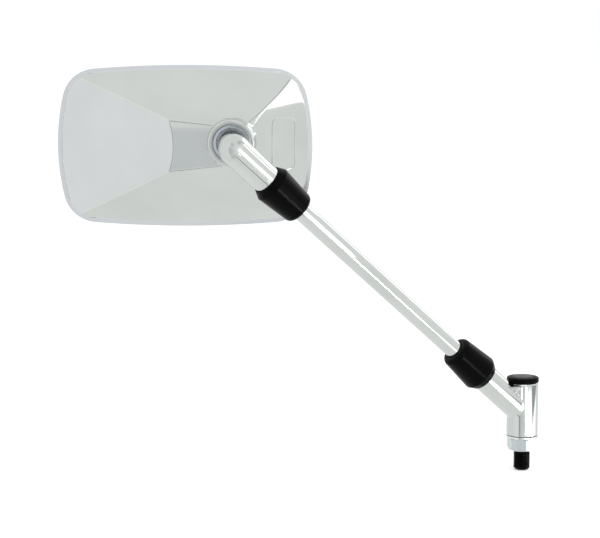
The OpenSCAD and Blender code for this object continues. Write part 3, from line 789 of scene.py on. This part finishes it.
def make_floor():
    """Pale paper that keeps the object's shadow and is lifted to white for the camera alone."""
    just_below = cad_box[0].z - 0.5 * MM
    bpy.ops.object.select_all(action="DESELECT")
    bpy.ops.mesh.primitive_plane_add(size=40, location=(-0.1, 0, just_below))
    floor = name_piece(bpy.context.object, "floor")
    material = bpy.data.materials.new("floor_paper")
    material.use_nodes = True
    tree = material.node_tree
    tree.nodes.clear()
    out = add(tree, "ShaderNodeOutputMaterial")
    paper = add(tree, "ShaderNodeBsdfDiffuse", Color=(*grey(PAPER), 1))
    lift = add(tree, "ShaderNodeEmission", Color=(1, 1, 1, 1), Strength=PAPER_LIFT)
    lifted = add(tree, "ShaderNodeAddShader")
    mix_camera = add(tree, "ShaderNodeMixShader")
    path = add(tree, "ShaderNodeLightPath")
    tree.links.new(paper.outputs[0], lifted.inputs[0])
    tree.links.new(lift.outputs[0], lifted.inputs[1])
    tree.links.new(path.outputs["Is Camera Ray"], mix_camera.inputs[0])
    tree.links.new(paper.outputs[0], mix_camera.inputs[1])
    tree.links.new(lifted.outputs[0], mix_camera.inputs[2])
    tree.links.new(mix_camera.outputs[0], out.inputs["Surface"])
    floor.data.materials.append(material)
    floor.visible_glossy = False


# What polished metal mirrors: azimuth from the front of the bike towards +X and elevation, each with the
# half width that is full and the half width where it ends, then the colour
STUDIO_PATCHES = (
    ("left softbox", -47, 14, 21, -7, 20, 32, (1.07, 1.055, 1.09)),
    ("camera side", -15, 1, 16, -7, 20, 30, (0.81, 0.815, 0.85)),
    ("camera", -2, 4, 9, -4, 5, 11, (0.77, 0.78, 0.83)),
    ("gap left of camera", -26, 2.5, 6.5, -7, 26, 34, (0.46, 0.46, 0.48)),
    ("gap above camera", -12, 10, 16, 40, 4, 12, (0.48, 0.48, 0.50)),
    ("gap below camera", -12, 10, 16, -50, 4, 12, (0.48, 0.48, 0.50)),
    ("warm edge above", -42, 10, 16, 36, 4, 12, (1.26, 1.21, 1.09)),
    ("warm edge below", -42, 10, 16, -46, 4, 12, (1.26, 1.21, 1.09)),
    ("gap over bright panel", 61, 13, 20, 48, 5, 9, (0.35, 0.35, 0.36)),
    ("back panel", 131, 8, 11, 24, 8, 10, (2.0, 2.0, 2.0)),
)


def within(tree, source, middle, full, end):
    """1 where an angle is within full degrees of middle, falling smoothly to 0 at end."""
    shifted = add(tree, "ShaderNodeMath", operation="SUBTRACT")
    shifted.inputs[1].default_value = math.radians(middle)
    tree.links.new(source, shifted.inputs[0])
    size = add(tree, "ShaderNodeMath", operation="ABSOLUTE")
    tree.links.new(shifted.outputs[0], size.inputs[0])
    return step_up(tree, size.outputs[0], math.radians(end), math.radians(full))


def studio_colour(tree):
    """The softboxes and gaps of the studio, by direction."""
    coords = add(tree, "ShaderNodeTexCoord")
    split = add(tree, "ShaderNodeSeparateXYZ")
    tree.links.new(coords.outputs["Generated"], split.inputs[0])
    front = add(tree, "ShaderNodeMath", operation="MULTIPLY")
    front.inputs[1].default_value = -1
    tree.links.new(split.outputs["Y"], front.inputs[0])
    azimuth = add(tree, "ShaderNodeMath", operation="ARCTAN2")
    tree.links.new(split.outputs["X"], azimuth.inputs[0])
    tree.links.new(front.outputs[0], azimuth.inputs[1])
    elevation = add(tree, "ShaderNodeMath", operation="ARCSINE")
    tree.links.new(split.outputs["Z"], elevation.inputs[0])
    cloud = add(tree, "ShaderNodeTexNoise", Scale=2.2, Detail=2)
    tree.links.new(coords.outputs["Generated"], cloud.inputs["Vector"])
    level = spread(tree, cloud, 0, 1)
    colours = blend_colours(tree, level, (0.96, 0.965, 0.96), (1.04, 1.035, 1.04))
    for label, az, az_full, az_end, el, el_full, el_end, patch in STUDIO_PATCHES:
        across = within(tree, azimuth.outputs[0], az, az_full, az_end)
        upright = within(tree, elevation.outputs[0], el, el_full, el_end)
        colours = tinted_where(tree, colours, multiply(tree, across, upright), patch)
        colours.label = label
    return colours.outputs[2]


def make_world():
    """White to the camera, plain light on the object, and the studio in reflections."""
    world = bpy.data.worlds.new("studio")
    scene.world = world
    world.use_nodes = True
    tree = world.node_tree
    tree.nodes.clear()
    out = add(tree, "ShaderNodeOutputWorld")
    seen = add(tree, "ShaderNodeBackground", Color=(1, 1, 1, 1), Strength=1)
    lighting = add(tree, "ShaderNodeBackground", Color=(1, 1, 1, 1), Strength=LIGHT_LEVEL)
    mirrored = add(tree, "ShaderNodeBackground", Strength=1)
    tree.links.new(studio_colour(tree), mirrored.inputs["Color"])
    path = add(tree, "ShaderNodeLightPath")
    mix_glossy = add(tree, "ShaderNodeMixShader")
    mix_camera = add(tree, "ShaderNodeMixShader")
    tree.links.new(path.outputs["Is Glossy Ray"], mix_glossy.inputs[0])
    tree.links.new(lighting.outputs[0], mix_glossy.inputs[1])
    tree.links.new(mirrored.outputs[0], mix_glossy.inputs[2])
    tree.links.new(path.outputs["Is Camera Ray"], mix_camera.inputs[0])
    tree.links.new(mix_glossy.outputs[0], mix_camera.inputs[1])
    tree.links.new(seen.outputs[0], mix_camera.inputs[2])
    tree.links.new(mix_camera.outputs[0], out.inputs["Surface"])


def view_along(azimuth, elevation):
    """Direction from the part: azimuth from the front of the bike towards +X, in degrees."""
    a, e = math.radians(azimuth), math.radians(elevation)
    return Vector((math.sin(a) * math.cos(e), -math.cos(a) * math.cos(e), math.sin(e)))


def fade_across(tree, glow):
    """The glow in the middle of the card's width, clear towards its sides."""
    side, full = 0.5, 0.12
    coords = add(tree, "ShaderNodeTexCoord")
    split = add(tree, "ShaderNodeSeparateXYZ")
    tree.links.new(coords.outputs["UV"], split.inputs[0])
    from_middle = add(tree, "ShaderNodeMath", operation="SUBTRACT")
    from_middle.inputs[1].default_value = 0.5
    tree.links.new(split.outputs["X"], from_middle.inputs[0])
    away = add(tree, "ShaderNodeMath", operation="ABSOLUTE")
    tree.links.new(from_middle.outputs[0], away.inputs[0])
    clear = add(tree, "ShaderNodeBsdfTransparent")
    surface = add(tree, "ShaderNodeMixShader")
    tree.links.new(step_up(tree, away.outputs[0], side, full).outputs[0], surface.inputs[0])
    tree.links.new(clear.outputs[0], surface.inputs[1])
    tree.links.new(glow.outputs[0], surface.inputs[2])
    return surface


def card_material(name, strength, soft):
    material = bpy.data.materials.new(name)
    material.use_nodes = True
    tree = material.node_tree
    tree.nodes.clear()
    out = add(tree, "ShaderNodeOutputMaterial")
    surface = add(tree, "ShaderNodeEmission", Color=(1, 1, 1, 1), Strength=strength)
    if soft:
        surface = fade_across(tree, surface)
    tree.links.new(surface.outputs[0], out.inputs["Surface"])
    return material


def card(name, target, direction, away, width, height, strength, up=UP, soft=False, pointed=0.0):
    """A glowing card that far from target in that (azimuth, elevation) and facing it, seen by glossy rays
    alone. Its height runs towards up, and a pointed one ends below in a point that far off its middle."""
    out = view_along(*direction)
    across = up.cross(-out).normalized()
    rise = across.cross(out)
    bpy.ops.object.select_all(action="DESELECT")
    bpy.ops.mesh.primitive_plane_add(size=1)
    obj = name_piece(bpy.context.object, name)
    turn = Matrix((across * width, rise * height, -out)).transposed().to_4x4()
    obj.matrix_world = Matrix.Translation(target + out * away) @ turn
    if pointed:
        tip_width = 0.02
        for vertex in obj.data.vertices:
            if vertex.co.y < 0:
                vertex.co.x = pointed + tip_width * vertex.co.x
    activate(obj)
    bpy.ops.object.transform_apply(location=True, rotation=True, scale=True)
    obj.data.materials.append(card_material(name, strength, soft))
    obj.visible_camera = False
    obj.visible_diffuse = False
    obj.visible_shadow = False
    obj.visible_transmission = False


def make_cards():
    # Bright strip beside the stem: the line down the rod and the streaks on the rubber
    card("stem_strip", CROSS + STEM * 0.048, (38, -24), away=0.42, width=0.045, height=0.296,
         strength=16, up=STEM)
    # Round the elbow: a soft panel for the broad streak, and thin flags and a panel for its right edge
    card("elbow_panel", ELBOW, (50, -7), away=0.25, width=0.15, height=0.2, strength=2, up=STEM, soft=True)
    card("elbow_flag_below", ELBOW, (16, -43), away=0.15, width=0.013, height=0.12, strength=0.3, up=STEM)
    card("elbow_flag_behind", ELBOW, (97, 24), away=0.06, width=0.005, height=0.05, strength=0.25, up=STEM)
    card("elbow_panel_behind", ELBOW, (125, 25), away=0.2, width=0.12, height=0.12, strength=2, up=STEM)
    # Panel to the right of the head, which the narrow corner face mirrors
    beside_head = Vector((BALL.x, -0.064, 0.262))
    card("corner_panel", beside_head, (90, 0), away=0.002 - BALL.x, width=0.05, height=0.05, strength=2.2)
    # Low panels to the right of the holder, a strip for the stud and a pointed flag in front of them
    for k, azimuth in enumerate((36, 63, 90)):
        card(f"low_panel_{k}", Vector((0, 0, -0.032)), (azimuth, 0), away=0.2, width=0.1, height=0.066,
             strength=1.9)
    card("stud_strip", Vector((0, 0, -0.054)), (75, 0), away=0.18, width=0.03, height=0.05, strength=22)
    card("low_flag", Vector((0, -0.007, 0.0105)), (90, 0), away=0.12, width=0.15, height=0.039,
         strength=0.45, pointed=0.26)


def make_lamps():
    """Large soft lamps for the shading, which no metal mirrors."""
    middle = Vector((-0.1, 0, 0.1))
    for name, spot, power in (("key", (0.5, -0.7, 0.9), 5.0), ("fill", (-0.9, -0.6, 0.5), 2.0)):
        data = bpy.data.lights.new(name, "AREA")
        data.size = 0.9
        data.energy = power
        lamp = bpy.data.objects.new(name, data)
        bpy.context.collection.objects.link(lamp)
        lamp.location = spot
        lamp.rotation_euler = (middle - Vector(spot)).to_track_quat("-Z", "Y").to_euler()
        lamp.visible_glossy = False


make_floor()
make_world()
make_lamps()
make_cards()


# Camera at the photograph's place

CAMERA_AT = (-0.1356, -1.0784, 0.2474)
CAMERA_DOWN = 7.2
FOCAL_PIXELS, PICTURE_PIXELS = 1800, 600


def make_camera():
    data = bpy.data.cameras.new("camera")
    camera = bpy.data.objects.new("camera", data)
    bpy.context.collection.objects.link(camera)
    scene.camera = camera
    data.sensor_width = 36
    data.lens = FOCAL_PIXELS / PICTURE_PIXELS * data.sensor_width
    camera.location = CAMERA_AT
    camera.rotation_euler = (math.radians(90 - CAMERA_DOWN), 0, 0)


make_camera()
scene.view_settings.view_transform = "Standard"
